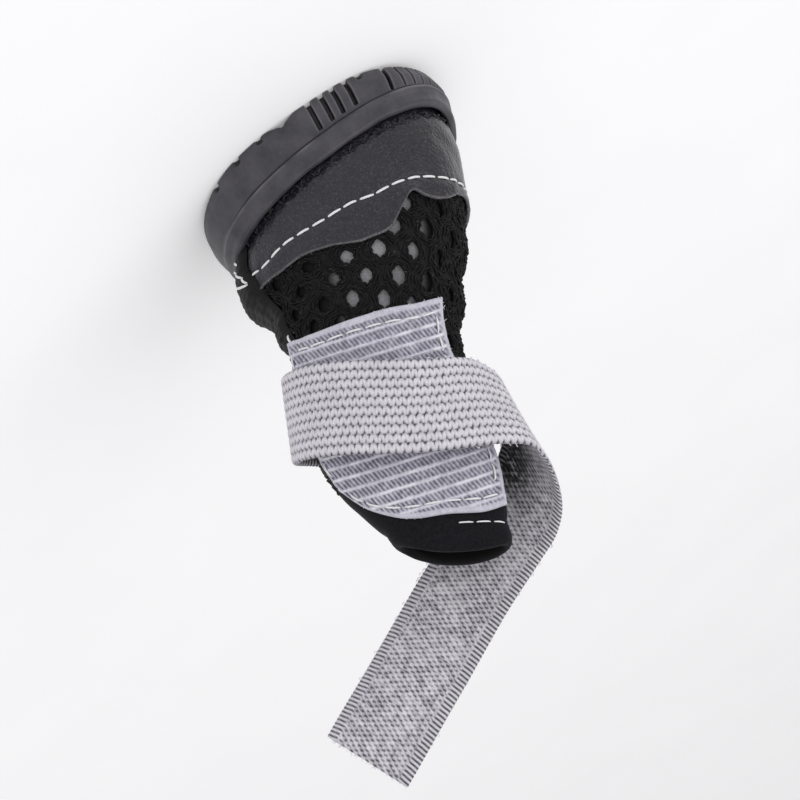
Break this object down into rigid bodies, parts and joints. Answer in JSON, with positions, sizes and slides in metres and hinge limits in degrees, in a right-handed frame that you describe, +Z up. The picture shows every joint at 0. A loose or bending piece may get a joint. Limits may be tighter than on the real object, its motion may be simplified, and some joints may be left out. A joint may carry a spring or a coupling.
{
  "type": "dog boot",
  "caption": "Small dog boot with a lugged rubber cup sole, mesh upper, leather band, hook tape panel and a knit ankle strap with a free end.",
  "frame": {"origin": "on the ground plane under the middle of the sole, on the flat spot under the forefoot", "axes": "+X towards the toe, +Y towards the left flank with the hook panel, +Z up"},
  "size_m": [0.0974, 0.049, 0.1211],
  "materials": {
    "rubber": "matt moulded rubber with a faint sheen, dark grey",
    "insole_fabric": "flat dark woven lining fabric over foam",
    "mesh": "black open net over a grey lining, smooth black fabric at the collar",
    "leather": "black synthetic leather, fine grain, satin",
    "hook_tape": "light grey woven hook tape",
    "knit_strap": "light grey ribbed knit elastic, looped on its inner side"
  },
  "bodies": {
    "root": {"outsole": "rubber", "insole": "insole_fabric", "upper": "mesh", "leather_band": "leather", "hook_panel": "hook_tape", "ankle_strap": "knit_strap"}
  },
  "joints": []
}
